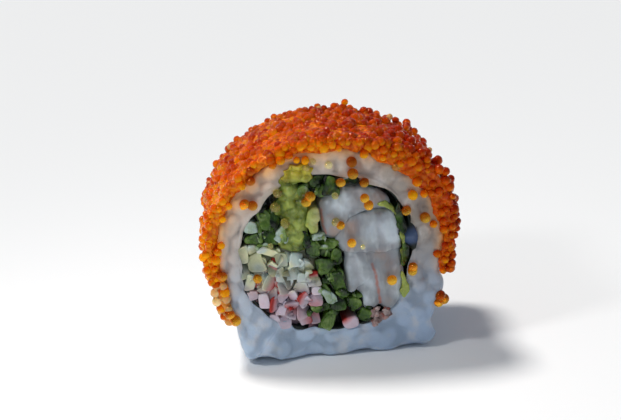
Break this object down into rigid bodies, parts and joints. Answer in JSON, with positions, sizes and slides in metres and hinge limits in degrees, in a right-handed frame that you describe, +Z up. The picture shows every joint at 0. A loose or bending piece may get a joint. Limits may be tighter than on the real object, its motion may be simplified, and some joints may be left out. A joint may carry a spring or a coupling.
{
  "type": "california roll",
  "caption": "Cut piece of an inside-out sushi roll: rice ring topped with orange fish roe, round shrimp, avocado, cucumber and shredded crab stick.",
  "frame": {"origin": "on the flat base the piece rests on, under the middle of the roll and midway between the two cut faces", "axes": "+Z up from the flat base, +Y along the roll's axis from the front cut face to the back one, +X to the right seen from the front"},
  "size_m": [0.0464, 0.0262, 0.042],
  "materials": {
    "rice": "moist cooked rice",
    "nori": "damp seaweed sheet",
    "roe": "glossy translucent eggs",
    "shrimp": "moist cooked shrimp",
    "avocado": "soft avocado flesh",
    "cucumber": "moist cut cucumber",
    "lettuce": "moist leaf",
    "crab": "moist crab stick"
  },
  "bodies": {
    "root": {"rice": "rice", "nori": "nori", "roe": "roe", "shrimp_upper": "shrimp", "shrimp_middle": "shrimp", "shrimp_lower": "shrimp", "avocado": "avocado", "avocado_slice": "avocado", "avocado_edge": "avocado", "lettuce_edge": "lettuce", "lettuce_1": "lettuce", "lettuce_2": "lettuce", "lettuce_3": "lettuce", "cucumber_1": "cucumber", "cucumber_2": "cucumber", "cucumber_3": "cucumber", "cucumber_4": "cucumber", "cucumber_5": "cucumber", "cucumber_6": "cucumber", "cucumber_7": "cucumber", "cucumber_8": "cucumber", "crab_end": "crab", "crab_shreds": "crab"}
  },
  "joints": []
}
